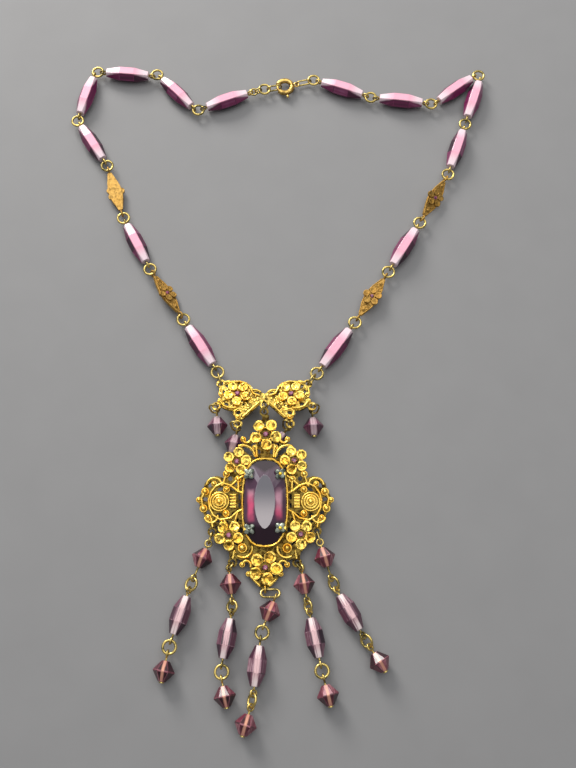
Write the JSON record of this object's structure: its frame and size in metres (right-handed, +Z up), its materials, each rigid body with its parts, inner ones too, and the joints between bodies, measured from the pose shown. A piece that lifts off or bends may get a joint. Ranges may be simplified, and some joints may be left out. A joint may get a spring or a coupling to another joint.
{
  "type": "festoon necklace",
  "caption": "Festoon necklace of amethyst glass beads with a pierced gilt filigree pendant, a central cut stone, hanging bead drops and a spring-ring clasp, lying flat.",
  "frame": {"origin": "middle of the bounding box on the surface that the necklace lies on", "axes": "+X to the right across the necklace, +Y from the drops to the clasp, +Z up from the surface"},
  "size_m": [0.1517, 0.2325, 0.0095],
  "materials": {
    "amethyst_beads": "faceted transparent amethyst glass with a pale drilled core",
    "centre_stone": "cut dark amethyst glass with a polished table",
    "small_stones": "small cut amethyst glass",
    "gilt_metal": "worn gilt with dark recesses",
    "aged_wire": "aged pale brass wire"
  },
  "bodies": {
    "necklace": {"chain_bead_l1": "amethyst_beads", "chain_bead_l2": "amethyst_beads", "chain_bead_l3": "amethyst_beads", "chain_bead_l4": "amethyst_beads", "chain_bead_l5": "amethyst_beads", "chain_bead_l6": "amethyst_beads", "chain_bead_l7": "amethyst_beads", "chain_bead_r1": "amethyst_beads", "chain_bead_r2": "amethyst_beads", "chain_bead_r3": "amethyst_beads", "chain_bead_r4": "amethyst_beads", "chain_bead_r5": "amethyst_beads", "chain_bead_r6": "amethyst_beads", "chain_bead_r7": "amethyst_beads", "eye_pins_left": "aged_wire", "eye_pins_right": "aged_wire", "jump_rings_left": "aged_wire", "jump_rings_right": "aged_wire", "chain_plaque_l1": "gilt_metal", "chain_plaque_l2": "gilt_metal", "chain_plaque_r1": "gilt_metal", "chain_plaque_r2": "gilt_metal", "clasp_ring": "aged_wire", "front_yoke": "gilt_metal", "yoke_link": "aged_wire", "plaque_stones": "small_stones", "front_bead_1": "amethyst_beads", "front_bead_2": "amethyst_beads", "front_bead_3": "amethyst_beads", "front_bead_4": "amethyst_beads", "front_bead_findings": "aged_wire", "pendant_filigree": "gilt_metal", "centre_stone": "centre_stone", "flower_stones": "small_stones", "drop_1_top": "amethyst_beads", "drop_1_long": "amethyst_beads", "drop_1_tip": "amethyst_beads", "drop_1_findings": "aged_wire", "drop_2_top": "amethyst_beads", "drop_2_long": "amethyst_beads", "drop_2_tip": "amethyst_beads", "drop_2_findings": "aged_wire", "drop_3_top": "amethyst_beads", "drop_3_long": "amethyst_beads", "drop_3_tip": "amethyst_beads", "drop_3_findings": "aged_wire", "drop_4_top": "amethyst_beads", "drop_4_long": "amethyst_beads", "drop_4_tip": "amethyst_beads", "drop_4_findings": "aged_wire", "drop_5_top": "amethyst_beads", "drop_5_long": "amethyst_beads", "drop_5_tip": "amethyst_beads", "drop_5_findings": "aged_wire"},
    "clasp_lever": {"clasp_lever": "aged_wire"}
  },
  "joints": [
    {"name": "clasp_lever_hinge", "type": "hinge", "parent": "necklace", "child": "clasp_lever", "pos_m": [0.00172, 0.10827, 0.00175], "axis": [0, 0, 1], "range_deg": [0, 50], "stiffness_Nm_per_rad": 0.002, "springref_deg": -22.92}
  ]
}
